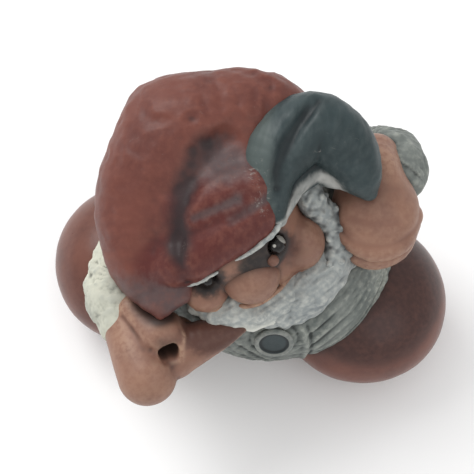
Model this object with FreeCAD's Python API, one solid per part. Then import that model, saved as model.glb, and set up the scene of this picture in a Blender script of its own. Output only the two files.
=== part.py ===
"""A squat gnome figurine, modelled piece by piece in millimetres.

The gnome sits on the floor plane z = 0 and looks along -Y, with its head turned to its own left (+X).
"left" and "right" are the gnome's own: its right side is at -X.
"""

import math
import os

import FreeCAD
import Part
from FreeCAD import Vector

# Boots: big bulbous toes with a flat sole.
SOLE_RADIUS_DROP = 2.0
RIGHT_BOOT_CENTRE = (-36.5, 3.5)
RIGHT_BOOT_RADII = (28.5, 29.5, 22.0)
LEFT_BOOT_CENTRE = (43.5, -11.0)
LEFT_BOOT_RADII = (30.0, 30.5, 22.5)
BOOT_SPLAY = 35.0

# Body: a round smock over the trousers that the gnome sits on.
BELLY_CENTRE = (11.0, -1.5, 38.0)
BELLY_RADII = (42.0, 36.5, 31.0)
CHEST_CENTRE = (6.0, 4.0, 56.0)
CHEST_RADII = (31.0, 26.0, 19.0)
HEM_HEIGHT = 11.0
SEAT_CENTRE = (8.0, 5.0, 13.0)
SEAT_RADII = (33.0, 28.0, 15.0)
BUTTON_CENTRE = (12.7, -36.6, 46.0)
BUTTON_RADIUS = 6.2
BUTTON_THICKNESS = 3.2
BUTTON_DISH = 0.8

# Head: everything on the face is placed sideways, forwards and upwards from the head's centre.
HEAD_CENTRE = Vector(-0.5, -7.5, 73.0)
HEAD_RADII = (22.0, 20.0, 21.0)
FACE_TURN = 28.0
NOSE_PLACE = (-3.3, 16.3, 0.0)
NOSE_RADII = (9.3, 9.0, 8.6)
LEFT_CHEEK_PLACE = (16.7, 12.3, -3.0)
LEFT_CHEEK_RADII = (7.5, 8.0, 9.5)
RIGHT_CHEEK_PLACE = (-16.2, 11.2, -5.5)
RIGHT_CHEEK_RADII = (7.0, 7.5, 7.5)
LEFT_EYE_PLACE = (5.7, 13.8, 11.0)
RIGHT_EYE_PLACE = (-16.4, 11.8, 4.2)
EYE_RADIUS = 3.6
WART_PLACE = (3.0, 17.6, 9.6)
WART_RADIUS = 1.8

# Hair: tapering rolls given as (x, y, z, radius).
LEFT_BROW = (
    (0.6, -22.3, 87.0, 1.2),
    (5.5, -20.5, 87.6, 1.5),
    (9.7, -18.0, 87.4, 1.4),
    (13.1, -14.0, 88.0, 1.1),
)
RIGHT_BROW = (
    (-17.8, -23.5, 73.0, 1.1),
    (-13.0, -25.0, 78.0, 1.5),
    (-7.0, -24.5, 83.0, 1.2),
)
MOUSTACHE = (
    (-13.0, -28.0, 60.0, 2.5),
    (-4.0, -31.0, 60.5, 5.5),
    (10.0, -28.5, 60.5, 6.5),
    (21.5, -20.0, 61.0, 6.0),
    (30.0, -10.0, 63.0, 4.0),
)
BEARD = (
    (-4.0, -27.5, 57.0, 5.0),
    (8.0, -28.5, 57.5, 6.0),
    (21.0, -23.0, 58.5, 9.0),
    (31.0, -11.0, 62.0, 8.0),
)
SIDE_HAIR = (
    (24.0, 9.0, 83.0, 5.0),
    (28.0, 2.0, 79.0, 7.0),
    (28.5, -7.0, 72.0, 6.5),
)

# Cap: a round crown, hollowed over the left eye, with a tail that flops forward,
# and its lining turned up over one side.
CROWN_CENTRE = (-5.0, 7.5, 84.5)
CROWN_RADII = (31.0, 28.0, 19.5)
CROWN_TURN = 33.0
BROW_HOLLOW_CENTRE = (27.0, -17.0, 88.0)
BROW_HOLLOW_RADIUS = 17.0
CAP_TAIL = (
    (12.0, 23.0, 90.0, 13.0),
    (0.0, 22.0, 90.5, 16.5),
    (-14.0, 17.5, 88.0, 18.5),
    (-24.5, 8.5, 83.5, 18.0),
    (-29.0, -3.5, 77.0, 15.5),
    (-29.0, -15.5, 71.0, 12.5),
    (-25.5, -25.5, 66.5, 7.5),
)
LINING = (
    (11.5, -12.5, 87.0, 2.5),
    (10.5, -6.5, 92.0, 5.5),
    (11.5, 1.5, 95.5, 8.0),
    (15.0, 9.5, 97.5, 10.0),
    (23.0, 15.5, 98.0, 11.3),
    (31.5, 11.5, 96.0, 10.3),
    (37.0, 4.0, 92.5, 7.8),
    (40.5, -2.0, 89.0, 3.0),
)

# Arms.
LEFT_SLEEVE = (
    (28.0, 12.0, 58.0, 13.0),
    (42.0, 20.0, 61.0, 13.0),
    (50.5, 17.0, 69.0, 12.0),
    (48.0, 10.0, 77.0, 9.0),
)
RIGHT_SLEEVE = (
    (-14.0, 4.0, 60.0, 12.0),
    (-31.0, -9.0, 56.5, 13.0),
    (-38.5, -20.0, 54.0, 11.5),
    (-37.0, -31.0, 53.5, 8.5),
)
LEFT_PALM_CENTRE = (44.0, -1.0, 75.0)
LEFT_PALM_RADII = (14.0, 16.0, 9.5)
LEFT_FINGER_ARC = ((55.0, -5.0), (49.5, -14.5), (40.0, -16.0), (33.5, -8.5))
LEFT_FINGER_HEIGHTS = (72.0, 64.5, 58.0)
LEFT_FINGER_RADIUS = 4.6
RIGHT_PALM = ((-35.5, -32.0, 54.0), (-28.5, -50.0, 53.8), 8.0, 9.4)
RIGHT_KNUCKLE_CENTRE = (-24.0, -37.5, 60.0)
RIGHT_KNUCKLE_RADIUS = 8.0
RIGHT_LOWER_FINGERS = ((-20.0, -36.0, 50.0), (-19.5, -43.5, 49.0), 7.5, 7.0)
RIGHT_THUMB = (
    (-23.0, -38.0, 57.5, 7.0),
    (-12.0, -38.0, 57.5, 6.3),
    (-4.0, -37.0, 58.5, 4.2),
    (1.5, -36.0, 59.5, 1.8),
)
ROD_HOLE_AXIS = Vector(0.35, -0.87, 0.35)
ROD_HOLE_RADIUS = 2.6
ROD_HOLE_DEPTH = 10.0

# How rolls are lofted: rings along the path, and the rings that close each end as a dome.
RINGS_PER_SPAN = 3
DOME_ANGLES = (80.0, 58.0, 30.0)
EGG_ANGLES = (-86.0, -76.0, -62.0, -46.0, -30.0, -15.0, 0.0, 15.0, 30.0, 46.0, 62.0, 76.0, 86.0)


def ring(centre, normal, radius):
    """A circular wire."""
    return Part.Wire(Part.Circle(centre, normal, radius).toShape())


def ellipsoid(centre, radii, turn=0.0):
    """Ellipsoid lofted along its X axis, which is turned about Z."""
    length, width, height = radii
    rings = []
    for angle in EGG_ANGLES:
        lean = math.radians(angle)
        middle = Vector(length * math.sin(lean), 0, 0)
        rings.append(oval(middle, width * math.cos(lean), height * math.cos(lean)))
    egg = Part.makeLoft(rings, True, False)
    egg.rotate(Vector(0, 0, 0), Vector(0, 0, 1), turn)
    egg.translate(Vector(*centre))
    return egg


def oval(middle, width, height):
    """An elliptical wire square to X, given by its half width and half height."""
    if abs(width - height) < 1e-6:
        return ring(middle, Vector(1, 0, 0), width)
    side = middle + Vector(0, width, 0)
    top = middle + Vector(0, 0, height)
    if width > height:
        return Part.Wire(Part.Ellipse(side, top, middle).toShape())
    return Part.Wire(Part.Ellipse(top, side, middle).toShape())


def ball(centre, radius):
    """A true sphere."""
    return Part.makeSphere(radius, Vector(*centre))


def capsule(start, end, start_radius, end_radius):
    """Two balls joined by the cone that touches both."""
    start = Vector(*start)
    axis = Vector(*end) - start
    reach = axis.Length
    tilt = math.asin((start_radius - end_radius) / reach)
    mid_low = (tilt - math.pi / 2) / 2
    mid_high = (tilt + math.pi / 2) / 2

    def on_ball(height, radius, angle):
        return Vector(radius * math.cos(angle), 0, height + radius * math.sin(angle))

    foot = Vector(0, 0, -start_radius)
    top = Vector(0, 0, reach + end_radius)
    low = on_ball(0, start_radius, tilt)
    high = on_ball(reach, end_radius, tilt)
    profile = [
        Part.Arc(foot, on_ball(0, start_radius, mid_low), low).toShape(),
        Part.LineSegment(low, high).toShape(),
        Part.Arc(high, on_ball(reach, end_radius, mid_high), top).toShape(),
        Part.LineSegment(top, foot).toShape(),
    ]
    body = Part.Face(Part.Wire(profile)).revolve(Vector(0, 0, 0), Vector(0, 0, 1), 360)
    solid = Part.Solid(body) if body.ShapeType != "Solid" else body
    turn = FreeCAD.Rotation(Vector(0, 0, 1), axis)
    solid.Placement = FreeCAD.Placement(start, turn)
    return solid


def roll(stations):
    """A soft tapering roll with domed ends, through stations (x, y, z, radius)."""
    path = Part.BSplineCurve()
    points = [Vector(*station[:3]) for station in stations]
    spans = len(points) - 1
    path.interpolate(Points=points, Parameters=[float(i) for i in range(spans + 1)])

    def at(position):
        index = min(int(position), spans - 1)
        part = position - index
        radius = stations[index][3] * (1 - part) + stations[index + 1][3] * part
        return path.value(position), path.tangent(position)[0], radius

    centre, along, radius = at(0.0)
    rings = []
    for angle in DOME_ANGLES:
        back = radius * math.sin(math.radians(angle))
        rings.append(ring(centre - along * back, along, radius * math.cos(math.radians(angle))))
    for step in range(spans * RINGS_PER_SPAN + 1):
        rings.append(ring(*at(step / RINGS_PER_SPAN)))
    centre, along, radius = at(float(spans))
    for angle in reversed(DOME_ANGLES):
        out = radius * math.sin(math.radians(angle))
        rings.append(ring(centre + along * out, along, radius * math.cos(math.radians(angle))))
    return Part.makeLoft(rings, True, False)


def joined(pieces):
    """One solid from overlapping pieces."""
    whole = pieces[0]
    for piece in pieces[1:]:
        whole = whole.fuse(piece)
    return whole


def chain(stations):
    """A tapering roll made of capsules, for paths that bend too tightly to loft."""
    spans = zip(stations, stations[1:])
    return joined([capsule(a[:3], b[:3], a[3], b[3]) for a, b in spans])


def above(shape, height):
    """What of the shape lies above a height."""
    box = shape.BoundBox
    low = box.ZMin - 1
    block = Part.makeBox(
        box.XLength + 2, box.YLength + 2, height - low, Vector(box.XMin - 1, box.YMin - 1, low)
    )
    return shape.cut(block)


def on_face(place):
    """A point given sideways (to the gnome's left), forwards and upwards from the head's centre."""
    side, forward, up = place
    turn = math.radians(FACE_TURN)
    sideways = Vector(math.cos(turn), math.sin(turn), 0) * side
    forwards = Vector(math.sin(turn), -math.cos(turn), 0) * forward
    return HEAD_CENTRE + sideways + forwards + Vector(0, 0, up)


def boot(centre, radii, splay):
    """A bulbous boot with a flat sole on the floor."""
    bulb = ellipsoid((*centre, radii[2] - SOLE_RADIUS_DROP), radii, splay)
    return above(bulb, 0.0)


def tunic():
    """The smock: belly and chest in one, cut off at the hem."""
    body = joined([ellipsoid(BELLY_CENTRE, BELLY_RADII), ellipsoid(CHEST_CENTRE, CHEST_RADII)])
    return above(body, HEM_HEIGHT)


def trousers():
    """The seat that the gnome sits on, flat against the floor."""
    return above(ellipsoid(SEAT_CENTRE, SEAT_RADII), 0.0)


def tunic_button():
    """A round button with a dished face, let into the front of the smock."""
    back = Vector(*BUTTON_CENTRE) + Vector(0, BUTTON_THICKNESS / 2, 0)
    disc = Part.makeCylinder(BUTTON_RADIUS, BUTTON_THICKNESS, back, Vector(0, -1, 0))
    front = Vector(*BUTTON_CENTRE) - Vector(0, BUTTON_THICKNESS / 2 - BUTTON_DISH, 0)
    dish = Part.makeCone(
        BUTTON_RADIUS * 0.62, BUTTON_RADIUS * 0.8, BUTTON_DISH, front, Vector(0, -1, 0)
    )
    rim = [edge for edge in disc.Edges if edge.Curve.TypeId == "Part::GeomCircle"]
    return disc.makeFillet(0.9, rim).cut(dish)


def head():
    """Skull and cheeks."""
    return joined(
        [
            ellipsoid(HEAD_CENTRE, HEAD_RADII, FACE_TURN),
            ellipsoid(on_face(LEFT_CHEEK_PLACE), LEFT_CHEEK_RADII, FACE_TURN),
            ellipsoid(on_face(RIGHT_CHEEK_PLACE), RIGHT_CHEEK_RADII, FACE_TURN),
        ]
    )


def cap_crown():
    """The crown of the cap, and the roll along its back that becomes the floppy tail."""
    dome = ellipsoid(CROWN_CENTRE, CROWN_RADII, CROWN_TURN)
    dome = dome.cut(ball(BROW_HOLLOW_CENTRE, BROW_HOLLOW_RADIUS))
    return joined([dome, roll(CAP_TAIL)])


def left_hand():
    """The hand that holds the turned-up lining: palm and three curled fingers."""
    pieces = [ellipsoid(LEFT_PALM_CENTRE, LEFT_PALM_RADII)]
    for height in LEFT_FINGER_HEIGHTS:
        arc = [(x, y, height, LEFT_FINGER_RADIUS) for x, y in LEFT_FINGER_ARC]
        pieces.append(roll(arc))
    heel_top = (44.0, -3.0, 70.0)
    heel_foot = (45.0, -3.0, 60.0)
    pieces.append(capsule(heel_top, heel_foot, 10.0, 9.0))
    return joined(pieces)


def right_hand():
    """The raised fist with its thumb out, bored for a thin rod."""
    pieces = [
        capsule(*RIGHT_PALM),
        ball(RIGHT_KNUCKLE_CENTRE, RIGHT_KNUCKLE_RADIUS),
        capsule(*RIGHT_LOWER_FINGERS),
        roll(RIGHT_THUMB),
    ]
    outwards = Vector(ROD_HOLE_AXIS).normalize()
    mouth = Vector(*RIGHT_KNUCKLE_CENTRE) + outwards * RIGHT_KNUCKLE_RADIUS
    bottom = mouth - outwards * ROD_HOLE_DEPTH
    bore = Part.makeCylinder(ROD_HOLE_RADIUS, 2 * ROD_HOLE_DEPTH, bottom, outwards)
    return joined(pieces).cut(bore)


# Where two pieces meet, the one listed first keeps its shape and the other is fitted round it.
PIECES = {
    "head": head(),
    "left_boot": boot(LEFT_BOOT_CENTRE, LEFT_BOOT_RADII, BOOT_SPLAY),
    "right_boot": boot(RIGHT_BOOT_CENTRE, RIGHT_BOOT_RADII, 0.0),
    "cap_crown": cap_crown(),
    "tunic_button": tunic_button(),
    "tunic": tunic(),
    "trousers": trousers(),
    "nose": ellipsoid(on_face(NOSE_PLACE), NOSE_RADII, FACE_TURN),
    "left_eye": ball(on_face(LEFT_EYE_PLACE), EYE_RADIUS),
    "right_eye": ball(on_face(RIGHT_EYE_PLACE), EYE_RADIUS),
    "wart": ball(on_face(WART_PLACE), WART_RADIUS),
    "left_eyebrow": roll(LEFT_BROW),
    "right_eyebrow": roll(RIGHT_BROW),
    "cap_lining": chain(LINING),
    "left_hand": left_hand(),
    "right_hand": right_hand(),
    "moustache": roll(MOUSTACHE),
    "beard": roll(BEARD),
    "side_hair": roll(SIDE_HAIR),
    "left_sleeve": roll(LEFT_SLEEVE),
    "right_sleeve": roll(RIGHT_SLEEVE),
}


def fitted(pieces):
    """Cut every piece back to the ones listed before it, so that neighbours meet face to face."""
    done = {}
    for name, shape in pieces.items():
        for other in done.values():
            if shape.BoundBox.intersect(other.BoundBox):
                shape = shape.cut(other)
        shape = max(shape.Solids, key=lambda solid: solid.Volume)
        done[name] = shape
    return done


os.makedirs("parts", exist_ok=True)
for node, solid in fitted(PIECES).items():
    solid.exportStep(f"parts/{node}.step")
    print(node, solid.isValid(), round(solid.Volume), len(solid.Faces))
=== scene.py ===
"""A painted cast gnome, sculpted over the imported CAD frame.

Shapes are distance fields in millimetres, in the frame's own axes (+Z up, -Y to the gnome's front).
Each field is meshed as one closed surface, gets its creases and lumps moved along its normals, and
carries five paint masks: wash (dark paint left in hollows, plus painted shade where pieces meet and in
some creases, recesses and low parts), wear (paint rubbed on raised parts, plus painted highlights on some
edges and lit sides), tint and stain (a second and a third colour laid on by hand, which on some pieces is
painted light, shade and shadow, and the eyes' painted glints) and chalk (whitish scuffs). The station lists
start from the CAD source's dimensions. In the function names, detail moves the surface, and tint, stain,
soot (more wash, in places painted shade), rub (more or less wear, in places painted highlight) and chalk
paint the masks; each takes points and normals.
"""

import itertools
import math

import bpy
import numpy as np
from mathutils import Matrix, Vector


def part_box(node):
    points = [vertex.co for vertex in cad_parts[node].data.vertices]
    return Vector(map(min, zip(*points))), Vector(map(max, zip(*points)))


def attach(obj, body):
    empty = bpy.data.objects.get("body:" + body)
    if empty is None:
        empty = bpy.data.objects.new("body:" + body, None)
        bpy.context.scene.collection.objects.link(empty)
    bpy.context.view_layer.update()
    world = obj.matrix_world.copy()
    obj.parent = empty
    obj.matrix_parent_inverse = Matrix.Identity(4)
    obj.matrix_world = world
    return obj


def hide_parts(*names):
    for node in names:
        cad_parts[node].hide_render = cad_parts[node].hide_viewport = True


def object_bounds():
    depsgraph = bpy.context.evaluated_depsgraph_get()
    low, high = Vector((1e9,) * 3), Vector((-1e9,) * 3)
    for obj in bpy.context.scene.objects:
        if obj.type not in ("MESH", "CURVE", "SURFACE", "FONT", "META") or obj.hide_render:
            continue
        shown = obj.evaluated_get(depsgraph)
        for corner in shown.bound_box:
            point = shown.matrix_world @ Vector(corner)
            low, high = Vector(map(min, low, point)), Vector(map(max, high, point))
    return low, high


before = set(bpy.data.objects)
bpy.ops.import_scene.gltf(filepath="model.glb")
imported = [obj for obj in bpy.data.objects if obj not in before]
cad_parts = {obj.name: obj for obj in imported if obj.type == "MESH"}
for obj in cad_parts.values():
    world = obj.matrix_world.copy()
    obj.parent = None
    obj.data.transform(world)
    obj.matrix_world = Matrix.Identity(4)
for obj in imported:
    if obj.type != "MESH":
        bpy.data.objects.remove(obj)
CAD_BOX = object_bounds()

MM = 0.001

# ---------------------------------------------------------------- distance fields


def length(v):
    return np.sqrt((v * v).sum(-1))


def turned(yaw):
    """Rotation matrix about Z whose columns are the turned axes."""
    c, s = math.cos(math.radians(yaw)), math.sin(math.radians(yaw))
    return np.array([[c, -s, 0], [s, c, 0], [0, 0, 1]])


def egg(p, centre, radii, yaw=0.0):
    """Ellipsoid, turned about Z."""
    q = (p - np.array(centre)) @ turned(yaw)
    r = np.array(radii, float)
    near = length(q / r)
    return near * (near - 1) / np.maximum(length(q / (r * r)), 1e-6)


def ball(p, centre, radius):
    return length(p - np.array(centre)) - radius


def limb(p, a, b, ra, rb):
    """Rounded cone from ball a to ball b."""
    a, b = np.array(a, float), np.array(b, float)
    along = b - a
    t = np.clip(((p - a) @ along) / (along @ along), 0, 1)
    return length(p - a - t[..., None] * along) - (ra + (rb - ra) * t)


def join(a, b, blend):
    """Smooth union."""
    h = np.maximum(blend - np.abs(a - b), 0) / blend
    return np.minimum(a, b) - h * h * blend / 4


def carve(a, b, blend):
    """Smooth cut of b out of a."""
    return -join(-a, b, blend)


def floor_cut(p, field, height):
    """Cuts a field off flat below a height."""
    return np.maximum(field, height - p[..., 2])


def curve(stations, steps):
    """Smooth curve through rows of numbers."""
    q = np.array(stations, float)
    q = np.vstack([2 * q[0] - q[1], q, 2 * q[-1] - q[-2]])
    rows = []
    for i in range(1, len(q) - 2):
        before, a, b, after = q[i - 1 : i + 3]
        for t in np.arange(steps) / steps:
            linear = (b - before) * t
            square = (2 * before - 5 * a + 4 * b - after) * t**2
            cube = (3 * a - before - 3 * b + after) * t**3
            rows.append(a + (linear + square + cube) / 2)
    rows.append(q[-2])
    return np.array(rows)


def tube(p, stations, steps=4):
    """Tapering roll through stations (x, y, z, radius)."""
    rows = curve(stations, steps)
    field = np.inf
    for a, b in zip(rows, rows[1:]):
        field = np.minimum(field, limb(p, a[:3], b[:3], a[3], b[3]))
    return field


def line_distance(p, points):
    """Distance to a smooth line."""
    rows = curve(points, 3) if len(points) > 2 else np.array(points, float)
    away = np.inf
    for a, b in zip(rows, rows[1:]):
        away = np.minimum(away, limb(p, a, b, 0, 0))
    return away


def near_line(p, points, width):
    """1 on a line, fading to 0 about width away from it."""
    return np.exp(-((line_distance(p, points) / width) ** 2))


def near_point(p, point, width):
    return np.exp(-((length(p - np.array(point)) / width) ** 2))


def lumps(p, size, seed):
    """Smooth noise from -1 to 1, with lumps about size across."""
    cells = 24
    table = np.random.default_rng(seed).uniform(-1, 1, (cells,) * 3)
    q = p / size
    base = np.floor(q).astype(int)
    f = q - base
    f = f * f * (3 - 2 * f)
    total = 0
    for corner in itertools.product((0, 1), repeat=3):
        weight = np.prod(np.where(corner, f, 1 - f), axis=-1)
        total = total + weight * table[tuple(((base + corner) % cells).T)]
    return total


def grain(p, direction, size, stretch, seed):
    """Noise drawn out along a direction, as in strands and brush strokes."""
    d = np.array(direction, float)
    d /= np.linalg.norm(d)
    along = (p @ d)[:, None] * d
    return lumps((p - along) + along / stretch, size, seed)


# ---------------------------------------------------------------- from field to mesh


def surface_net(field, low, step):
    """Vertices and outward quads on the zero level of a sampled field."""
    cells = np.array(field.shape) - 1
    hit_cells, hit_points, quads = [], [], []
    for axis in range(3):
        order = [axis] + [other for other in range(3) if other != axis]
        near = np.moveaxis(field, axis, 0)[:-1]
        far = np.moveaxis(field, axis, 0)[1:]
        where = np.nonzero((near < 0) != (far < 0))
        a, b = near[where], far[where]
        corner = np.empty((len(a), 3), int)
        corner[:, order] = np.stack(where, 1)
        point = corner.astype(float)
        point[:, axis] += a / (a - b)
        around = []
        for du, dv in ((0, 0), (1, 0), (1, 1), (0, 1)):
            cell = corner.copy()
            cell[:, order[1]] -= du
            cell[:, order[2]] -= dv
            around.append(np.ravel_multi_index(cell.T, cells))
            hit_points.append(point)
        around = np.stack(around, 1)
        hit_cells.append(around.T.ravel())
        backwards = (a > 0) != (axis == 1)
        around[backwards] = around[backwards][:, ::-1]
        quads.append(around)
    ids, index = np.unique(np.concatenate(hit_cells), return_inverse=True)
    points = np.concatenate(hit_points)
    count = np.bincount(index)
    mean = [np.bincount(index, weights=points[:, c]) / count for c in range(3)]
    faces = np.searchsorted(ids, np.concatenate(quads))
    return low + step * np.stack(mean, 1), faces


def normals_of(points, faces):
    first = points[faces[:, 2]] - points[faces[:, 0]]
    second = points[faces[:, 3]] - points[faces[:, 1]]
    diagonals = np.cross(first, second)
    normals = np.zeros_like(points)
    for column, axis in itertools.product(range(4), range(3)):
        normals[:, axis] += np.bincount(faces[:, column], diagonals[:, axis], len(points))
    return normals / np.maximum(length(normals), 1e-9)[:, None]


def smoothed(points, faces, rounds):
    """Points moved towards their neighbours' mean a number of times."""
    starts = faces.ravel()
    ends = np.roll(faces, -1, axis=1).ravel()
    count = np.bincount(starts, minlength=len(points))[:, None]
    for _ in range(rounds):
        mean = np.stack([np.bincount(starts, points[ends, c], len(points)) for c in range(3)], 1)
        points = (points + mean / count) / 2
    return points


def grid_of(low, high, step):
    axes = [np.arange(a, b + step, step) for a, b in zip(low, high)]
    return np.stack(np.meshgrid(*axes, indexing="ij"), -1)


def reach(field):
    """Box that holds a field's solid, found on a coarse grid over the whole figure."""
    step, margin, spare = 3.0, 12.0, 2
    low = np.array(CAD_BOX[0]) / MM - margin
    high = np.array(CAD_BOX[1]) / MM + margin
    grid = grid_of(low, high, step)
    inside = grid[field(grid) < step * 1.2]
    return inside.min(0) - spare, inside.max(0) + spare


def nothing(p, n):
    return np.zeros(len(p))


def sculpt(
    node, field, material, voxel=0.5, detail=nothing, tint_and_painted_light=nothing, stain_and_shadow=nothing, soot_and_shade=nothing,
    chalk=nothing, rub_and_highlight=nothing, beside=(),
):
    """Makes one piece from a field and hangs it on the frame in place of its CAD node."""
    step = voxel * 1.0
    low, high = reach(field)
    points, faces = surface_net(field(grid_of(low, high, step)), low, step)
    normals = normals_of(points, faces)
    points = points + normals * detail(points, normals)[:, None]
    normals = normals_of(points, faces)
    rise = ((points - smoothed(points, faces, int(WASH_REACH / step))) * normals).sum(1)
    gap = np.full(len(points), FAR_AWAY)
    for neighbour in beside:
        gap = np.minimum(gap, np.abs(neighbour(points)))
    # painted shade: each piece is darkened where it meets the pieces beside it, together with the wash there
    seam_wash_and_shade = SEAM_WASH_AND_SHADE * np.exp(-gap / SEAM_WIDTH)
    masks = {
        # the wash mask also carries painted shade, from the seams and from several of the soot functions
        "wash_and_shade": np.clip(-rise / FULL_WASH, 0, 1) + seam_wash_and_shade + soot_and_shade(points, normals),
        # the wear mask also carries painted highlights from the face's and the right hand's rub functions
        "wear_and_highlight": rise / FULL_WEAR + rub_and_highlight(points, normals),
        # tint and stain also carry painted light, painted shade, painted shadow and the eyes' glints on some
        # pieces
        "tint_and_painted_light": tint_and_painted_light(points, normals),
        "stain_and_shadow": stain_and_shadow(points, normals),
        "chalk": chalk(points, normals),
    }
    mesh = bpy.data.meshes.new(node)
    mesh.from_pydata((points * MM).tolist(), [], faces.tolist())
    mesh.polygons.foreach_set("use_smooth", np.ones(len(faces), bool))
    for key, mask in masks.items():
        values = np.clip(mask, 0, 1).astype(np.float32)
        mesh.attributes.new(key, "FLOAT", "POINT").data.foreach_set("value", values)
    mesh.materials.append(material)
    mesh.update()
    piece = bpy.data.objects.new(node + "_form", mesh)
    bpy.context.scene.collection.objects.link(piece)
    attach(piece, "root")
    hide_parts(node)


WASH_REACH = 10.0  # smoothing rounds times voxel size, for telling hollows from ridges
FULL_WASH = 0.4  # how far a hollow lies below its surroundings to be filled with wash
FULL_WEAR = 0.3  # how far a ridge stands out to be rubbed fully
SEAM_WASH_AND_SHADE = 0.6  # wash and painted shade where a piece meets the pieces beside it
SEAM_WIDTH = 1.3
FAR_AWAY = 99.0

# ---------------------------------------------------------------- paint


def srgb(*rgb):
    """Linear colour from 8-bit screen values."""
    return [((c / 255 + 0.055) / 1.055) ** 2.4 for c in rgb] + [1.0]


class Paint:
    """Builds one painted material node by node."""

    def __init__(self, name):
        self.material = bpy.data.materials.new(name)
        self.material.use_nodes = True
        self.nodes = self.material.node_tree.nodes
        self.links = self.material.node_tree.links
        self.shader = self.nodes["Principled BSDF"]
        self.place = self.nodes.new("ShaderNodeTexCoord").outputs["Object"]

    def feed(self, socket, value):
        if isinstance(value, bpy.types.NodeSocket):
            self.links.new(value, socket)
        else:
            socket.default_value = value

    def math(self, kind, *values):
        node = self.nodes.new("ShaderNodeMath")
        node.operation = kind
        for socket, value in zip(node.inputs, values):
            self.feed(socket, value)
        return node.outputs[0]

    def mask(self, name):
        node = self.nodes.new("ShaderNodeAttribute")
        node.attribute_name = name
        return node.outputs["Fac"]

    def noise(self, size_mm, detail=3.0, squeeze=(1, 1, 1), roughness=0.55, distortion=0.0):
        """Noise with features about size_mm across, squeezed along chosen axes."""
        shape = self.nodes.new("ShaderNodeMapping")
        shape.inputs["Scale"].default_value = squeeze
        self.feed(shape.inputs["Vector"], self.place)
        node = self.nodes.new("ShaderNodeTexNoise")
        node.inputs["Scale"].default_value = 1 / (size_mm * MM)
        node.inputs["Detail"].default_value = detail
        node.inputs["Roughness"].default_value = roughness
        node.inputs["Distortion"].default_value = distortion
        self.feed(node.inputs["Vector"], shape.outputs[0])
        return node.outputs["Fac"]

    def step(self, value, low, high):
        """0 below low, 1 above high, smooth between."""
        node = self.nodes.new("ShaderNodeMapRange")
        node.interpolation_type = "SMOOTHSTEP"
        self.feed(node.inputs["Value"], value)
        node.inputs["From Min"].default_value = low
        node.inputs["From Max"].default_value = high
        return node.outputs["Result"]

    def ragged(self, name, noise, raggedness):
        """A mask whose edge is broken up by noise."""
        return self.math("MULTIPLY_ADD", self.math("SUBTRACT", noise, 0.5), raggedness, self.mask(name))

    def coat(self, below, colour, amount, strength=1.0):
        """Lays a colour over what is below, where amount says."""
        node = self.nodes.new("ShaderNodeMix")
        node.data_type = "RGBA"
        self.feed(node.inputs["Factor"], self.math("MULTIPLY", amount, strength))
        self.feed(node.inputs["A"], below)
        self.feed(node.inputs["B"], srgb(*colour))
        return node.outputs["Result"]

    def bump(self, height, distance_mm, below=None):
        node = self.nodes.new("ShaderNodeBump")
        node.inputs["Distance"].default_value = distance_mm * MM
        node.inputs["Strength"].default_value = 0.6
        self.feed(node.inputs["Height"], height)
        if below is not None:
            self.feed(node.inputs["Normal"], below)
        return node.outputs["Normal"]


def painted(
    name, base, shade, dark, light, rough, tint_and_painted_light=None, stain_and_shadow=None, mottle=0.2, dust=0.3,
    strokes=(1, 1, 1), bumps=0.1,
):
    """A brushed coat: two close tones, hand-laid tints, rubbed ridges, dark wash in hollows, scuffs;
    the masks also lay painted light, shade and highlights on some pieces.
    """
    paint = Paint(name)
    broad = paint.noise(12.0, 4.0)
    brush = paint.noise(1.8, 4.0, strokes)
    fine = paint.noise(0.5, 3.0)
    colour = paint.coat(srgb(*base), shade, paint.step(broad, 0.35, 0.68))
    for mask, tone in (("tint_and_painted_light", tint_and_painted_light), ("stain_and_shadow", stain_and_shadow)):
        if tone is not None:
            colour = paint.coat(colour, tone, paint.step(paint.ragged(mask, brush, 0.6), 0.2, 0.8))
    colour = paint.coat(colour, light, paint.step(brush, 0.42, 0.75), mottle)
    # rubbed paint on raised parts, and painted highlights, take the light colour
    ridge_and_highlight = paint.math("MULTIPLY", paint.mask("wear_and_highlight"), paint.step(brush, 0.25, 0.65))
    colour = paint.coat(colour, light, ridge_and_highlight, 0.7)
    # the dark colour lays the wash, and painted shade where the wash mask carries it
    colour = paint.coat(colour, dark, paint.step(paint.ragged("wash_and_shade", broad, 0.4), 0.05, 1.0), 0.9)
    speckle = paint.noise(2.2, 6.0, (1, 1.6, 1), 0.7, 1.2)
    scuff = paint.math("MULTIPLY", paint.step(speckle, 0.60, 0.76), paint.step(broad, 0.5, 0.64))
    colour = paint.coat(colour, SCUFF, scuff, dust)
    colour = paint.coat(colour, SCUFF, paint.step(paint.ragged("chalk", speckle, 2.4), 0.5, 1.0), 0.8)
    paint.feed(paint.shader.inputs["Base Color"], colour)
    paint.feed(paint.shader.inputs["Roughness"], paint.math("MULTIPLY_ADD", fine, 0.25, rough - 0.12))
    paint.shader.inputs["Specular IOR Level"].default_value = 0.3
    low = paint.bump(brush, bumps)
    paint.feed(paint.shader.inputs["Normal"], paint.bump(fine, bumps * 0.5, low))
    return paint.material


SCUFF = (150, 146, 140)
RED = painted(
    "cap_paint", (107, 60, 50), (93, 50, 43), (38, 31, 33), (126, 76, 63), 0.46,
    tint_and_painted_light=(84, 36, 32), stain_and_shadow=(86, 70, 70), strokes=(1, 1, 0.4),
)
GREEN = painted(
    "lining_paint", (49, 62, 64), (40, 52, 54), (20, 27, 30), (76, 86, 86), 0.46,
    tint_and_painted_light=(170, 170, 166), stain_and_shadow=(76, 86, 84), mottle=0.15, strokes=(1, 0.3, 1),
)
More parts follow.
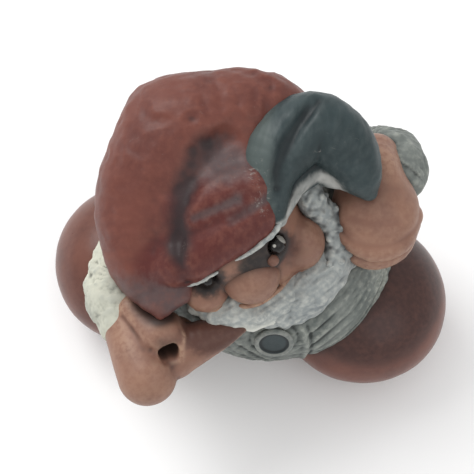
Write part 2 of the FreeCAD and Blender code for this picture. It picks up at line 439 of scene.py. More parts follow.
# In skin, the tint, stain and light colours also serve as painted shade, painted shadow and painted
# highlights.
SKIN = painted(
    "skin_paint", (140, 103, 86), (123, 88, 75), (46, 36, 33), (178, 147, 124), 0.44,
    tint_and_painted_light=(84, 55, 47), stain_and_shadow=(40, 35, 34), mottle=0.05, dust=0.04, bumps=0.03,
)
HAIR = painted(
    "hair_paint", (150, 155, 154), (130, 136, 137), (56, 58, 60), (196, 197, 190), 0.65,
    tint_and_painted_light=(202, 203, 194), mottle=0.35, dust=0.2, bumps=0.12,
)
# The smock's pale tint also paints light on the right sleeve, which faces the key lamp.
SMOCK = painted(
    "smock_paint", (112, 117, 113), (92, 98, 95), (38, 42, 41), (158, 161, 153), 0.6,
    tint_and_painted_light=(198, 198, 182), mottle=0.25, dust=0.2, bumps=0.1,
)
BUTTON = painted(
    "button_paint", (52, 62, 64), (44, 53, 55), (22, 26, 28), (76, 85, 86), 0.42,
    tint_and_painted_light=(140, 142, 136), mottle=0.1, dust=0.1,
)
TROUSERS = painted(
    "trouser_paint", (92, 80, 72), (78, 68, 62), (38, 33, 31), (118, 104, 92), 0.62,
)
# The boot's dark tint is painted shade on the left boot's upper side.
BOOT = painted(
    "boot_paint", (108, 67, 56), (92, 56, 48), (40, 29, 27), (128, 86, 73), 0.32,
    tint_and_painted_light=(64, 42, 39), mottle=0.08, dust=0.06, bumps=0.02,
)
# The eye's white tint paints the eyes' glints, a painted highlight, and the left eye's white.
EYE = painted(
    "eye_paint", (22, 20, 20), (18, 17, 17), (12, 11, 11), (34, 30, 28), 0.25,
    tint_and_painted_light=(200, 198, 190), mottle=0.05, dust=0.0, bumps=0.01,
)

# ---------------------------------------------------------------- boots and trousers

BOOT_DROP = 2.0  # how far below the floor a boot's bulb would reach if its sole weren't flat
RIGHT_BOOT_RADII = (28.5, 29.5, 22.0)
LEFT_BOOT_RADII = (30.0, 30.5, 22.5)
BOOT_SPLAY = 35.0
SEAT = ((8, 5, 13), (33, 28, 15))


def boot_field(node, radii, splay):
    low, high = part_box(node)
    middle = (np.array(low) + np.array(high)) / 2 / MM
    centre = (middle[0], middle[1], radii[2] - BOOT_DROP)
    return lambda p: floor_cut(p, egg(p, centre, radii, splay), 0.0)


right_boot = boot_field("right_boot", RIGHT_BOOT_RADII, 0.0)
left_boot = boot_field("left_boot", LEFT_BOOT_RADII, BOOT_SPLAY)


def boot_detail(p, n):
    return np.clip(p[:, 2] / 6, 0, 1) * (0.25 * lumps(p, 14, 11) + 0.06 * lumps(p, 4, 12))


def boot_darker_near_floor(p, n):
    # Darker towards the floor, over the boot's lowest few millimetres.
    return 0.5 * np.exp(-p[:, 2] / 5)


def left_boot_painted_shade(p, n):
    """Painted shade: the left boot's upper side darker than its rim, as in the body's shadow."""
    return 0.95 * np.clip((n[:, 2] - 0.3) / 0.4, 0, 1)


def trousers(p):
    return floor_cut(p, egg(p, *SEAT), 0.0)


def trousers_detail(p, n):
    return np.clip(p[:, 2] / 3, 0, 1) * 0.5 * grain(p, (0, 0, 1), 3.5, 3, 21)


# ---------------------------------------------------------------- smock

HEM = 11.0
BELLY = ((11, -1.5, 38), (42, 36.5, 31))
CHEST = ((6, 4, 56), (31, 26, 19))
BUTTON_AT = np.array((12.1, -36.6, 48.0))
BUTTON_LEAN = 21.0  # how far the button's face looks up, with the belly's slope
BUTTON_RADIUS = 5.6
BUTTON_BEAD = 0.9  # radius of the raised ring round the button
BUTTON_GROOVE = 8.0  # radius of the groove in the smock round the button
PLACKET = [(19.5, -32, 61), (21.0, -33.5, 53.0), (22.6, -35.2, 47.0), (23, -37.0, 38.0), (21, -34, 20)]
PLEAT_RUN = (-0.75, -0.55, -0.35)  # the way the fine pleats run, from the beard down to the placket
FRONT_FOLDS = [
    [(49, -14, 55), (41, -24, 50), (31, -32, 46), (25, -36, 41)],
    [(52, -8, 48), (46, -20, 44), (37, -29, 39), (28, -35, 34)],
    [(43, -19, 60), (36, -27, 55), (29, -31, 51), (24, -34, 47)],
    [(-4, -34, 46), (4, -37, 40), (10, -38, 32)],
    [(-12, -30, 44), (-4, -35, 36), (6, -37, 28)],
]
BACK_FOLDS = [
    [(-26, 8, 58), (-28, 10, 44), (-24, 14, 26)],
    [(-18, 24, 62), (-20, 26, 44), (-16, 26, 24)],
    [(0, 30, 66), (0, 34, 46), (4, 32, 22)],
    [(20, 29, 64), (24, 31, 44), (22, 29, 24)],
    [(38, 20, 58), (44, 18, 44), (40, 20, 28)],
]


def fold(p, line, width, depth):
    """A groove with a soft welt beside it."""
    away = line_distance(p, line)
    return 0.5 * depth * np.exp(-(((away - 2 * width) / width) ** 2)) - depth * np.exp(-((away / width) ** 2))


def tunic(p):
    return floor_cut(p, join(egg(p, *BELLY), egg(p, *CHEST), 8), HEM)


def tunic_detail(p, n):
    move = 0.3 * lumps(p, 11, 31)
    move = move + sum(fold(p, line, 1.0, 0.5) for line in FRONT_FOLDS)
    move = move + sum(fold(p, line, 2.6, 1.5) for line in BACK_FOLDS)
    front = np.clip(-p[:, 1] / 8, 0, 1)
    pleats = 0.3 * grain(p, PLEAT_RUN, 1.3, 9, 33) + 0.15 * grain(p, PLEAT_RUN, 0.7, 9, 34)
    move = move + front * pleats
    ring = length(p - BUTTON_AT) - BUTTON_GROOVE
    move = move - 0.4 * np.exp(-((ring / 0.7) ** 2)) + 0.12 * np.exp(-(((ring - 1.8) / 0.8) ** 2))
    groove = np.array(PLACKET) + (1.8, 0.6, 0)
    return move + 0.8 * near_line(p, PLACKET, 1.0) - 0.6 * near_line(p, groove, 0.8)


def tunic_painted_shade(p, n):
    """Painted shade: the belly's front darker below the button, towards the hem."""
    return 0.3 * np.clip((48 - p[:, 2]) / 10, 0, 1) * np.clip(-p[:, 1] / 10, 0, 1)


def tunic_tint(p, n):
    hem = 0.4 * np.exp(-(((p[:, 2] - HEM - 1) / 2.0) ** 2))
    shoulder = 0.35 * np.clip((p[:, 0] - 34) / 14, 0, 1)
    return hem + shoulder + 0.3 * near_line(p, PLACKET, 0.9)


def button_frame(p):
    """Distance out from the button's axis, and depth along it, away from the belly."""
    lean = math.radians(BUTTON_LEAN)
    axis = np.array((0, -math.cos(lean), math.sin(lean)))
    depth = (p - BUTTON_AT) @ axis
    return length(p - BUTTON_AT - depth[..., None] * axis), depth


def tunic_button(p):
    across, depth = button_frame(p)
    disc = np.maximum(across - BUTTON_RADIUS, np.abs(depth + 0.9) - 1.4)
    bead = np.sqrt((across - BUTTON_RADIUS) ** 2 + (depth - 0.4) ** 2) - BUTTON_BEAD
    return join(disc, bead, 0.5)


def button_tint(p, n):
    across, depth = button_frame(p)
    return np.clip((across - 4.75) / 0.4, 0, 1)


def button_soot(p, n):
    across, depth = button_frame(p)
    return 0.5 * np.exp(-(((across - 4.3) / 0.7) ** 2))


# ---------------------------------------------------------------- head and face

HEAD_AT = np.array((-0.5, -7.5, 73.0))
FACE_TURN = 28.0


def on_face(side, forward, up):
    """A point given sideways (to the gnome's left), forwards and upwards from the head's centre."""
    axes = turned(FACE_TURN)
    return HEAD_AT + axes[:, 0] * side - axes[:, 1] * forward + axes[:, 2] * up


NOSE_AT = on_face(-3.3, 16.3, 0.0)
LEFT_CHEEK_AT = on_face(15.6, 12.6, -1.0)
RIGHT_CHEEK_AT = on_face(-17.0, 11.8, -4.8)
LEFT_EYE_AT = on_face(6.4, 14.8, 11.0)
RIGHT_EYE_AT = on_face(-16.6, 12.6, 4.6)
WART_AT = on_face(3.4, 18.2, 8.6)
LEFT_EYE_RADIUS = 2.9
RIGHT_EYE_RADIUS = 2.3
EYE_SOCKETS = ((LEFT_EYE_AT, 3.2), (RIGHT_EYE_AT, 3.0))
WART_RADIUS = 1.9
SKULL_RADII = (22, 20, 21)
NOSE_RADII = (9.3, 9, 8.6)
LEFT_CHEEK_RADII = (8.6, 9.2, 9.8)
RIGHT_CHEEK_RADII = (7.5, 7.5, 7)
MOUTH_CORNER_AT = on_face(6, 16.2, -5)  # fills the gap between the nose and the left cheek
MOUTH_CORNER_RADII = (6, 5, 5)
LIP_RADIUS = 0.8
FACE_EDGE = [
    (-22, 15, -9), (-17, 18.5, -8.2), (-11.5, 20, -7.5), (-8, 22.8, -6), (-3.3, 24.2, -4.9),
    (2, 23.2, -5.1), (6, 21.8, -6.5), (10, 20.8, -6.8), (15, 20.8, -5.8), (20.5, 18, -4.5),
]
LIP = [on_face(*place) for place in FACE_EDGE]


def head(p):
    skull = egg(p, HEAD_AT, SKULL_RADII, FACE_TURN)
    left_cheek = egg(p, LEFT_CHEEK_AT, LEFT_CHEEK_RADII, FACE_TURN)
    right_cheek = egg(p, RIGHT_CHEEK_AT, RIGHT_CHEEK_RADII, FACE_TURN)
    face = join(skull, np.minimum(left_cheek, right_cheek), 1.6)
    face = join(face, egg(p, MOUTH_CORNER_AT, MOUTH_CORNER_RADII, FACE_TURN), 3.0)
    for socket, radius in EYE_SOCKETS:
        face = carve(face, ball(p, socket, radius), 2.0)
    return join(face, tube(p, [(*point, LIP_RADIUS) for point in LIP]), 0.8)


def head_detail(p, n):
    return 0.12 * lumps(p, 5, 41)


def head_tint(p, n):
    """Redder paint between and round the eyes, and on the left cheek."""
    bridge = near_line(p, [on_face(-2, 18, 9), on_face(5, 17, 8), on_face(9, 15, 8)], 4.5)
    corner = near_line(p, [RIGHT_EYE_AT, on_face(-21, 9, -3)], 3.0)
    blush = 0.36 * near_point(p, on_face(14, 20, 4), 7)
    return 0.9 * bridge + 0.8 * near_point(p, RIGHT_EYE_AT, 6.5) + 0.9 * corner + blush


def head_stain_and_shadow(p, n):
    """Near-black paint along the left eye's lid; painted shadow round the right eye, under the cap."""
    lid = near_line(p, [on_face(-3, 18.5, 10.5), LEFT_EYE_AT, WART_AT], 5.2)
    return 1.3 * lid + 1.3 * near_point(p, RIGHT_EYE_AT, 6.2)


def head_soot(p, n):
    # A dark ring round the wart, and no dark wash along the lip line, which carries a painted highlight.
    return 0.7 * np.exp(-(length(p - WART_AT) - 1.8) / 0.8) - 1.5 * near_line(p, LIP, 2.0)


def nose(p):
    return egg(p, NOSE_AT, NOSE_RADII, FACE_TURN)


def nose_detail(p, n):
    return 0.1 * lumps(p, 5, 43)


def nose_highlight_unwashed(p, n):
    """No dark wash along the nose's lower edge, which carries a painted highlight."""
    return -1.5 * near_line(p, LIP, 2.0)


def face_rub_and_highlight(p, n):
    """Painted highlight where the nose and cheeks meet the moustache; no rubbed paint round the eyes."""
    eyes = near_point(p, LEFT_EYE_AT, 6) + near_point(p, RIGHT_EYE_AT, 6)
    return 1.6 * near_line(p, LIP, 1.7) - 2.0 * eyes


def wart(p):
    return ball(p, WART_AT, WART_RADIUS)


def wart_tint(p, n):
    return np.full(len(p), 0.5)


def wart_rub(p, n):
    """The wart has no pale edge: all of it is the face's redder tone."""
    return np.full(len(p), -3.0)


def left_eye(p):
    return ball(p, LEFT_EYE_AT, LEFT_EYE_RADIUS)


def right_eye(p):
    return ball(p, RIGHT_EYE_AT, RIGHT_EYE_RADIUS)


def left_eye_glint_and_white(p, n):
    """Painted highlight: a white speck on the iris; the eye's own white as a sliver at its outer corner."""
    speck = near_point(n, (-0.25, -0.55, 0.8), 0.17)
    outer = np.clip((n @ np.array((0.62, 0.5, 0.6)) - 0.72) / 0.12, 0, 0.55)
    return np.maximum(1.4 * speck, outer)


def right_eye_glint(p, n):
    # Painted highlight: a white speck of light on the iris.
    return 1.2 * near_point(n, (-0.1, -0.5, 0.85), 0.22)


LEFT_BROW = [
    (-3, -24.2, 84.2, 0.4), (3, -22.0, 86.7, 0.75), (8, -18.8, 88.3, 0.9), (11.5, -15.8, 89.5, 0.9),
    (13.5, -12.8, 91, 0.8),
]
RIGHT_BROW = [
    (-20, -24.6, 71.8, 0.5), (-16, -27.2, 75.2, 0.8), (-11, -27.6, 79, 0.8), (-6, -26.3, 82.8, 0.4),
]


def left_eyebrow(p):
    return tube(p, LEFT_BROW)


def right_eyebrow(p):
    return tube(p, RIGHT_BROW)


def brow_detail(p, n):
    return 0.2 * grain(p, (0.9, 0.4, 0), 0.8, 3, 47)


# ---------------------------------------------------------------- hair

MOUSTACHE = [
    (-13, -28, 60, 2.5), (-4, -31, 60.5, 5.5), (10, -28.5, 60.5, 6.5), (21.5, -20, 61, 6), (30, -10, 63, 4),
]
BEARD = [(-4, -27.5, 57, 5), (8, -28.5, 57.5, 6), (21, -23, 58.5, 9), (31, -11, 62, 8)]
SIDE_HAIR = [(22, 3, 84, 4.5), (23.5, -2, 81.5, 4.6), (29, -5, 76, 4.5), (32, -10, 70, 4.8), (31, -15, 65, 5)]


def curly(stations, count, size, spread, blend, seed):
    """A roll of hair with rounded curls standing out all over it."""
    rng = np.random.default_rng(seed)
    rows = curve(stations, 8)
    rows = rows[rng.integers(0, len(rows), count)]
    aims = rng.normal(size=(count, 3))
    aims /= length(aims)[:, None]
    centres = rows[:, :3] + aims * rows[:, 3:] * spread
    sizes = size * rng.uniform(0.7, 1.2, count)

    def field(p):
        hair = tube(p, stations)
        for centre, radius in zip(centres, sizes):
            hair = join(hair, ball(p, centre, radius), blend)
        return hair

    return field


moustache = curly(MOUSTACHE, 30, 2.2, 0.85, 1.8, 51)
beard = curly(BEARD, 34, 2.4, 0.9, 1.8, 55)
side_hair = curly(SIDE_HAIR, 90, 1.1, 1.02, 0.5, 59)


def hair_detail(direction, depth, seed):
    def detail(p, n):
        strands = grain(p, direction, 0.9, 7, seed) + 0.7 * grain(p, direction, 2.2, 4, seed + 1)
        return depth * strands + 0.6 * depth * lumps(p, 4, seed + 2)

    return detail


def moustache_tint(p, n):
    """The moustache's edges were brushed whiter."""
    return 0.35 + 0.65 * np.clip((63 - p[:, 2]) / 4, 0, 1)


def beard_soot(p, n):
    """Dark dots of paint caught beside the cheek."""
    dots = np.clip((lumps(p, 1.1, 63) - 0.45) / 0.2, 0, 1)
    return dots * near_line(p, [(20, -17, 68), (26, -12, 70), (30, -6, 70)], 6)


def side_hair_soot(p, n):
    return 0.7 * np.clip(lumps(p, 1.5, 65) + 0.1, 0, 1)


# ---------------------------------------------------------------- cap

DOME = ((-3, 6.5, 83), (31, 28, 17.5), 33)
FACE_OPENING = ((28, -11, 90), (18, 22, 22))  # cut out of the dome over the face
PEAK = ((9, 26, 97), 8)
BACK_BULGE = ((-20, 20, 88), 17)
HOLLOW = ((-4, 2.5, 105), (9, 7, 5), 35)
CAP_TAIL = [
    (12, 23, 90, 13), (0, 22, 90.5, 16.5), (-14, 17.5, 88, 18.5), (-24.5, 8.5, 83.5, 18),
    (-29, -3.5, 77, 15.5), (-29, -15.5, 71, 12.5), (-25.5, -25.5, 66.5, 7.5),
]
VALLEY = [
    (-3, 9, 104, 2.2), (-10, 4, 104, 2.8), (-15, -5, 101, 3), (-17.8, -13, 96, 2.2), (-18, -18, 91, 1.2),
]
VALLEY_SHADE = [(-10, 7, 101), (-13, 2, 100), (-16, -5, 98), (-18, -14, 93.5), (-18, -20, 89.5)]
VALLEY_END = [(-18, -20, 89.5), (-16.5, -25.5, 85.5), (-15.5, -28.3, 80)]
LOWER_FOLD = [
    (-24, -19, 74, 8), (-17, -21, 80, 8), (-10, -19.3, 84.5, 7.5), (-2, -15.6, 88, 7.2),
    (7.5, -11.3, 90.8, 4.3),
]
UPPER_FOLD = [(-14, -10.5, 92.5, 5.5), (-5, -7.5, 95, 6), (4, -4, 96.5, 5.5)]
TAIL_TIP = [(-17.5, -27.5, 70, 4.5), (-22, -27.5, 68, 6.5), (-24, -34.3, 66.6, 2.0)]
NOTCH_FILL = ((5, -8, 93.3), 5.3)  # where the two folds meet at the lining
CAP_CREASES = [
    ([(-13, -14.5, 96), (-6, -12.5, 98.5), (0, -10, 99.5)], 1.9, 0.8),
    ([(-2, -16, 97), (4, -12.5, 97.5), (8, -9, 97.5)], 1.6, 0.6),
    ([(-13, -6, 102), (-6, -3.5, 104), (1, 1, 104)], 1.8, 0.8),
    ([(-30, 2, 94), (-34, -6, 86), (-36, -12, 76)], 3.5, 0.5),
    ([(-6, 35, 96), (2, 30, 101), (10, 25, 104)], 2.0, 1.4),
    ([(-26, -28, 74), (-29, -28, 70), (-31, -24, 66)], 1.4, 0.6),
    (VALLEY_END, 2.2, 1.0),
]


def cap_crown(p):
    dome = carve(egg(p, *DOME), egg(p, *FACE_OPENING), 2)
    cap = join(dome, tube(p, CAP_TAIL), 4)
    cap = join(cap, ball(p, *PEAK), 5)
    cap = join(cap, ball(p, *BACK_BULGE), 5)
    cap = carve(cap, egg(p, *HOLLOW), 3)
    folds = join(tube(p, LOWER_FOLD), tube(p, UPPER_FOLD), 1.5)
    cap = join(cap, join(folds, ball(p, *NOTCH_FILL), 2), 4)
    cap = carve(cap, tube(p, VALLEY), 4)
    return join(cap, tube(p, TAIL_TIP), 3)


def cap_detail(p, n):
    move = 0.4 * lumps(p, 6.5, 71) + 0.2 * lumps(p, 2.8, 73) + 0.6 * lumps(p, 16, 75)
    dents = np.clip(p[:, 1] / 14, 0.25, 1) * np.clip((lumps(p, 4.6, 77) - 0.1) / 0.6, 0, 1)
    return move - 0.55 * dents - sum(deep * near_line(p, line, wide) for line, wide, deep in CAP_CREASES)


def cap_tint(p, n):
    """Deeper red on the folds over the brow."""
    folds = np.minimum(tube(p, LOWER_FOLD), tube(p, UPPER_FOLD))
    return np.clip(1.1 - folds / 5, 0, 1)


def cap_stain(p, n):
    """Greyish paint in the hollow, in the grooves between the folds and on the tail's tip."""
    hollow = 0.9 * near_point(p, (-4, 2, 101), 9) + 0.4 * near_point(p, (9, -2, 100), 7)
    grooves = sum(near_line(p, line, 2.2) for line, wide, deep in CAP_CREASES[:3])
    tip = near_line(p, [(-31, -25, 71), (-20, -30, 71)], 8)
    return hollow + 0.6 * grooves + 0.95 * tip


def cap_valley_shade(p, n):
    # Painted shade along the valley between the cap's tail and the folds, down to the brow.
    return 0.8 * near_line(p, VALLEY_SHADE, 5.0) + 0.45 * near_line(p, VALLEY_END, 3.5)


def cap_chalk(p, n):
    """Scuffs along the edge of the turned-up lining, and over the hollow."""
    flap_edge = near_line(p, [(8, -12, 97), (4, -2, 103), (3, 8, 107), (6, 18, 108)], 3.0)
    crease = 0.35 * near_line(p, CAP_CREASES[0][0], 1.5)
    return 0.55 * flap_edge + 0.4 * near_point(p, (-4, 3, 101), 6) + crease


LINING = [
    (13.4, -12.6, 90.2, 1.7), (10, -6.5, 92, 5.8), (10, 1.5, 95.5, 8.2), (14, 9.5, 97.5, 10.5),
    (23, 15.5, 98, 11.3), (31.5, 11.5, 96, 10.3), (37, 4, 92.5, 7.8), (40.5, -2, 89, 3),
]
LINING_ROOT = [(14.5, -6, 89.5, 1.8), (18, -1, 90, 3.2), (25, 4.5, 91, 3.6)]
LINING_GROOVE = [(24, 19, 109.5, 1.2), (16.5, 7.5, 107.5, 1.8), (12.8, -0.5, 104, 1.6), (12.2, -6, 99.5, 0.8)]
LINING_RIM = [
    (11.8, -15.6, 89.6, 0.8), (15.5, -10, 90.6, 1.0), (17.6, -6, 91.2, 1.1), (21.5, 0, 91.8, 1.2),
    (26, 2.4, 92, 1.5), (34, 1, 91, 1.8),
]
RIM_PATCH = ((31, 2.5, 89.5), (6.5, 3.5, 2.8))  # the rim's widest part, beside the left hand
PALE_RIM = [row[:3] for row in LINING_RIM]


def cap_lining(p):
    flap = carve(tube(p, LINING), tube(p, LINING_GROOVE), 3)
    rim = join(tube(p, LINING_RIM), egg(p, *RIM_PATCH), 1)
    return join(join(flap, tube(p, LINING_ROOT), 1.5), rim, 1.0)


def lining_detail(p, n):
    return 0.25 * lumps(p, 5, 81) + 0.12 * grain(p, (0.3, 1, 0.3), 1.6, 5, 83)


def lining_tint(p, n):
    return 1.2 * near_line(p, PALE_RIM, 1.9) + near_point(p, (31, 1, 90), 4.5)


def lining_stain(p, n):
    return 0.9 * np.clip((14 - p[:, 0]) / 6, 0, 1)


def lining_soot(p, n):
    return 0.55 * near_line(p, [row[:3] for row in LINING_GROOVE], 4.0)


def lining_chalk(p, n):
    scratches = near_line(p, [(9, -8, 98), (7, 2, 103)], 3.0)
    return 0.5 * scratches + 0.4 * near_line(p, [(24, 6, 101), (36, 4, 98)], 3.0)


# ---------------------------------------------------------------- arms

LEFT_SLEEVE = [(28, 12, 58, 13), (42, 20, 61, 13), (50.5, 17, 69, 12), (49.5, 12, 70, 10)]
RIGHT_SLEEVE = [(-14, 4, 60, 12), (-31, -9, 56.5, 13), (-38.5, -20, 54, 11.5), (-37, -31, 53.5, 8.5)]
LEFT_PALM = ((44, -1, 75), (14, 15.0, 9.5))
LEFT_HEEL = ((44, -2, 70), (45, -1, 62), 10, 8.5)
LEFT_WRIST = [(43.5, 0, 77, 9), (43.5, 9, 79, 9), (44.5, 16, 77, 8)]
FINGER_ARC = [(55.0, -2.5), (51.0, -11.2), (42.5, -13.8), (34.0, -7.5)]
FINGER_STACK = [(73.0, -0.4, 4.4), (66.0, 0.3, 4.6), (60.0, 2.5, 4.4)]  # height, shift back, radius
HAND_BACK = [(36, 1, 84), (44, -1, 85), (53, 2, 83)]


def left_hand(p):
    hand = join(egg(p, *LEFT_PALM), limb(p, *LEFT_HEEL), 3)
    hand = join(hand, tube(p, LEFT_WRIST), 4)
    for height, back, radius in FINGER_STACK:
        finger = tube(p, [(x, y + back, height, radius) for x, y in FINGER_ARC])
        hand = join(hand, finger, 0.5)
    return hand


def left_hand_detail(p, n):
    palm_line = near_line(p, [(34, -8, 82), (42, -10.5, 83), (50, -9, 82)], 1.6)
    return 0.25 * lumps(p, 8, 91) - 0.35 * palm_line


def left_hand_tint(p, n):
    return 0.3 * near_line(p, HAND_BACK, 5) + 0.3 * near_point(p, (32, 0, 80), 7)


def left_hand_rub(p, n):
    """Pale edges where the curled fingers press together."""
    edges = [[(x, y - 3.5, height - 2) for x, y in FINGER_ARC] for height in (72, 66)]
    return sum(0.8 * near_line(p, underside_highlight, 1.4) for underside_highlight in edges) + 0.4 * near_point(p, (50, 12, 88), 8)


ROD_HOLE = np.array((0.35, -0.87, 0.35))
HOLE_SIDE = np.array((0.93, 0.37, 0.0))  # across the rod's hole, which is wider than it is tall
HOLE_SHIFTS = (-1.2, 0.5)
HOLE_RADIUS = 2.6
HOLE_SPAN = (-2, 13)  # the hole's foot and its open end, along its axis from the knuckle's centre
KNUCKLE_AT = np.array((-24.0, -37.5, 58.5))
KNUCKLE_RADIUS = 8
THUMB_ROOT = ((-20, -36, 50), (-19.5, -42, 50), 7.5, 6.6)
PALM = ((-35.5, -32, 54), (-28.5, -50.2, 53.8), 8.2, 9.4)
INDEX = ((-33.5, -29.5, 59.5), (-26.5, -40, 61.0), 5.2, 4.6)
THUMB = [(-20.5, -43.5, 53.5, 7.5), (-13, -39.5, 56, 6.8), (-5.5, -37.5, 58, 4.8), (1.5, -36.2, 59.8, 1.7)]
THUMB_RIDGE = [(-17, -34, 65), (-16.6, -40, 63), (-17.5, -46, 59)]
SHADED_THUMB_TOP = [(-10.5, -37.5, 62), (-2, -36.5, 61)]  # the thumb's upper side, darkened with painted shade


def right_hand(p):
    palm = join(limb(p, *PALM), limb(p, *INDEX), 1.2)
    thumb = join(tube(p, THUMB), limb(p, *THUMB_ROOT), 2)
    hand = join(join(palm, thumb, 1.2), ball(p, KNUCKLE_AT, KNUCKLE_RADIUS), 2.5)
    for shift in HOLE_SHIFTS:
        foot, mouth = (KNUCKLE_AT + shift * HOLE_SIDE + along * ROD_HOLE for along in HOLE_SPAN)
        hand = carve(hand, limb(p, foot, mouth, HOLE_RADIUS, HOLE_RADIUS), 0.5)
    return hand


def right_hand_detail(p, n):
    crease = near_line(p, [(-36, -33, 62), (-31, -40, 63), (-27, -44, 63)], 1.0)
    return 0.25 * lumps(p, 8, 93) - 0.5 * crease + 0.6 * near_line(p, THUMB_RIDGE, 1.0)


def right_hand_tint_and_shade(p, n):
    # Painted shade on the thumb's upper side and where the cap's tail tip meets the fist, and a darker heel.
    thumb_shade = np.clip(1.5 * near_line(p, SHADED_THUMB_TOP, 7.5), 0, 0.95)
    heel = near_line(p, [(-26, -47, 62), (-22, -50, 58)], 4)
    return thumb_shade + 0.45 * heel + 0.8 * near_point(p, (-25, -33, 66), 5)


def right_hand_rub_and_highlight(p, n):
    """Painted highlights under the thumb and on the fist's lit side, and paler paint beside the hole."""
    underside_highlight = near_line(p, [(-18, -47, 54), (-8, -42.5, 56), (1, -38, 58.5)], 1.6)
    thumb_shade = near_line(p, SHADED_THUMB_TOP, 6)
    # painted highlight on the fist's upper left, which faces the key lamp
    back = 0.5 * near_line(p, [(-37, -30, 62), (-34, -42, 60)], 5)
    return 1.5 * underside_highlight + 0.8 * near_line(p, THUMB_RIDGE, 1.2) + back - 1.5 * thumb_shade


def right_hand_blotches_and_shade(p, n):
    # Painted shade inside the rod's hole and under the cap's tail, dark blotches on the fist's front, none on
    # the raised line.
    inside = 1.5 * np.clip(0.9 - length(p - KNUCKLE_AT - 4 * ROD_HOLE) / 7, 0, 1)
    blotches = 0.6 * np.clip(lumps(p, 3, 97), 0, 1) * near_line(p, [(-26, -43, 62), (-20, -50, 57)], 5)
    tail_shade = 0.7 * near_line(p, [(-31, -31, 66), (-25, -36, 67), (-18, -33, 66)], 3)
    return inside + blotches + tail_shade - 0.8 * near_line(p, THUMB_RIDGE, 1.0)


def crumple(stations, rings, depth, seed):
    """Creases that run round a sleeve, wavering as crumpled cloth does."""
    rows = curve(stations, 10)
    arc = np.concatenate([[0], np.cumsum(length(np.diff(rows[:, :3], axis=0)))])

    def detail(p, n):
        gaps = [length(p - row[:3]) for row in rows]
        along = arc[np.argmin(gaps, axis=0)] + 5.0 * lumps(p, 8, seed)
        wave = np.sin(along / arc[-1] * rings * 2 * math.pi)
        creases = depth * wave * (0.6 + 0.4 * lumps(p, 9, seed + 3))
        return creases + 0.6 * lumps(p, 4.0, seed + 1) + 0.25 * lumps(p, 1.8, seed + 2)

    return detail


def left_sleeve(p):
    return tube(p, LEFT_SLEEVE)


def right_sleeve(p):
    return tube(p, RIGHT_SLEEVE)


def sleeve_painted_light(p, n):
    # Painted light: the right sleeve, on the key lamp's side, paler than the smock, with some variation.
    return 0.8 + 0.3 * lumps(p, 8, 109)


# ---------------------------------------------------------------- all the pieces

sculpt("right_boot", right_boot, BOOT, 0.8, boot_detail, soot_and_shade=boot_darker_near_floor, beside=[tunic, right_sleeve])
sculpt("left_boot", left_boot, BOOT, 0.8, boot_detail, left_boot_painted_shade, soot_and_shade=boot_darker_near_floor, beside=[tunic])
sculpt("trousers", trousers, TROUSERS, 0.8, trousers_detail, beside=[left_boot, right_boot])
sculpt(
    "tunic", tunic, SMOCK, 0.6, tunic_detail, tunic_tint, soot_and_shade=tunic_painted_shade,
    beside=[beard, left_hand, left_sleeve, right_sleeve, right_boot],
)
sculpt("tunic_button", tunic_button, BUTTON, 0.28, tint_and_painted_light=button_tint, soot_and_shade=button_soot)
sculpt(
    "head", head, SKIN, 0.42, head_detail, head_tint, head_stain_and_shadow, head_soot, rub_and_highlight=face_rub_and_highlight,
    beside=[cap_crown, nose],
)
sculpt("nose", nose, SKIN, 0.42, nose_detail, soot_and_shade=nose_highlight_unwashed, rub_and_highlight=face_rub_and_highlight, beside=[head])
sculpt("wart", wart, SKIN, 0.25, tint_and_painted_light=wart_tint, rub_and_highlight=wart_rub)
sculpt("left_eye", left_eye, EYE, 0.22, tint_and_painted_light=left_eye_glint_and_white)
sculpt("right_eye", right_eye, EYE, 0.22, tint_and_painted_light=right_eye_glint)
sculpt("left_eyebrow", left_eyebrow, HAIR, 0.28, brow_detail)
sculpt("right_eyebrow", right_eyebrow, HAIR, 0.28, brow_detail)
sculpt("moustache", moustache, HAIR, 0.42, hair_detail((0.8, 0.5, 0.1), 0.28, 53), moustache_tint)
sculpt(
    "beard", beard, HAIR, 0.42, hair_detail((0.7, 0.6, -0.2), 0.28, 57), soot_and_shade=beard_soot,
    beside=[left_hand],
)
sculpt(
    "side_hair", side_hair, HAIR, 0.42, hair_detail((0.3, 0.6, 0.6), 0.2, 61), soot_and_shade=side_hair_soot,
    beside=[left_hand, head],
)
sculpt("cap_crown", cap_crown, RED, 0.5, cap_detail, cap_tint, cap_stain, cap_valley_shade, cap_chalk)
sculpt(
    "cap_lining", cap_lining, GREEN, 0.42, lining_detail, lining_tint, lining_stain, lining_soot,
    lining_chalk,
)
sculpt(
    "left_hand", left_hand, SKIN, 0.45, left_hand_detail, left_hand_tint, rub_and_highlight=left_hand_rub,
    beside=[cap_lining, side_hair],
)
sculpt(
    "right_hand", right_hand, SKIN, 0.42, right_hand_detail, right_hand_tint_and_shade, soot_and_shade=right_hand_blotches_and_shade,
    rub_and_highlight=right_hand_rub_and_highlight, beside=[cap_crown],
)
sculpt("left_sleeve", left_sleeve, SMOCK, 0.5, crumple(LEFT_SLEEVE, 8, 0.6, 101), beside=[left_hand])
sculpt(
    "right_sleeve", right_sleeve, SMOCK, 0.5, crumple(RIGHT_SLEEVE, 6, 0.6, 105), sleeve_painted_light,
    beside=[cap_crown],
)

# ---------------------------------------------------------------- stage, lights and camera


def plain(name, colour, rough):
    material = bpy.data.materials.new(name)
    material.use_nodes = True
    shader = material.node_tree.nodes["Principled BSDF"]
    shader.inputs["Base Color"].default_value = colour
    shader.inputs["Roughness"].default_value = rough
    return material


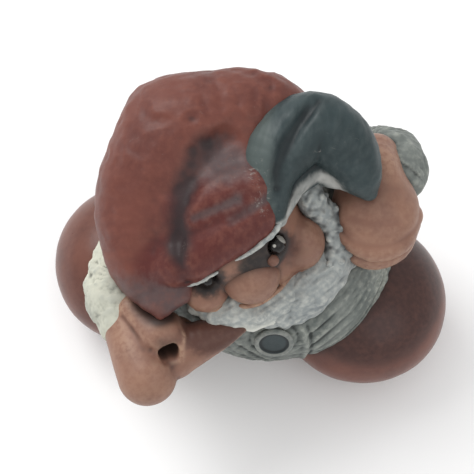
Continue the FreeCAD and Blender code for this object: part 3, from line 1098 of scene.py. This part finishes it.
FLOOR_SIZE = 8.0
FLOOR_TONE = (0.95, 0.95, 0.95, 1)
FLOOR_DROP = 0.0002  # keeps the floor clear of the soles
LAMP_TARGET = (0, 0, 0.05)
WORLD_LIGHT = 0.8


def make_floor():
    half = FLOOR_SIZE / 2
    mesh = bpy.data.meshes.new("floor")
    corners = [(-half, -half, 0), (half, -half, 0), (half, half, 0), (-half, half, 0)]
    mesh.from_pydata(corners, [], [(0, 1, 2, 3)])
    mesh.materials.append(plain("floor_paper", FLOOR_TONE, 0.9))
    floor = bpy.data.objects.new("floor", mesh)
    floor.location.z = -FLOOR_DROP
    bpy.context.scene.collection.objects.link(floor)


def aimed(thing, place, target):
    thing.location = place
    thing.rotation_euler = (Vector(target) - Vector(place)).to_track_quat("-Z", "Y").to_euler()
    bpy.context.scene.collection.objects.link(thing)


def make_lamp(name, place, size, power):
    lamp = bpy.data.lights.new(name, "AREA")
    lamp.size = size
    lamp.energy = power
    aimed(bpy.data.objects.new(name, lamp), place, LAMP_TARGET)


make_floor()
make_lamp("key", (-1.0, 0.9, 1.55), 1.2, 24.0)
make_lamp("fill", (0.9, -1.1, 1.5), 1.4, 5.0)

world = bpy.data.worlds.new("studio")
world.use_nodes = True
world.node_tree.nodes["Background"].inputs["Color"].default_value = (1, 1, 1, 1)
world.node_tree.nodes["Background"].inputs["Strength"].default_value = WORLD_LIGHT
bpy.context.scene.world = world
bpy.context.scene.view_settings.view_transform = "Standard"

CAMERA_ELEVATION = 66.0
CAMERA_DISTANCE = 0.43
CAMERA_TARGET = Vector((0, 0, 0.05))
CAMERA_LENS = 97

camera = bpy.data.cameras.new("camera")
camera.lens = CAMERA_LENS
camera.sensor_width = 36
lean = math.radians(CAMERA_ELEVATION)
camera_object = bpy.data.objects.new("camera", camera)
toward_camera = Vector((0, -math.cos(lean), math.sin(lean)))
aimed(camera_object, CAMERA_TARGET + CAMERA_DISTANCE * toward_camera, CAMERA_TARGET)
bpy.context.scene.camera = camera_object
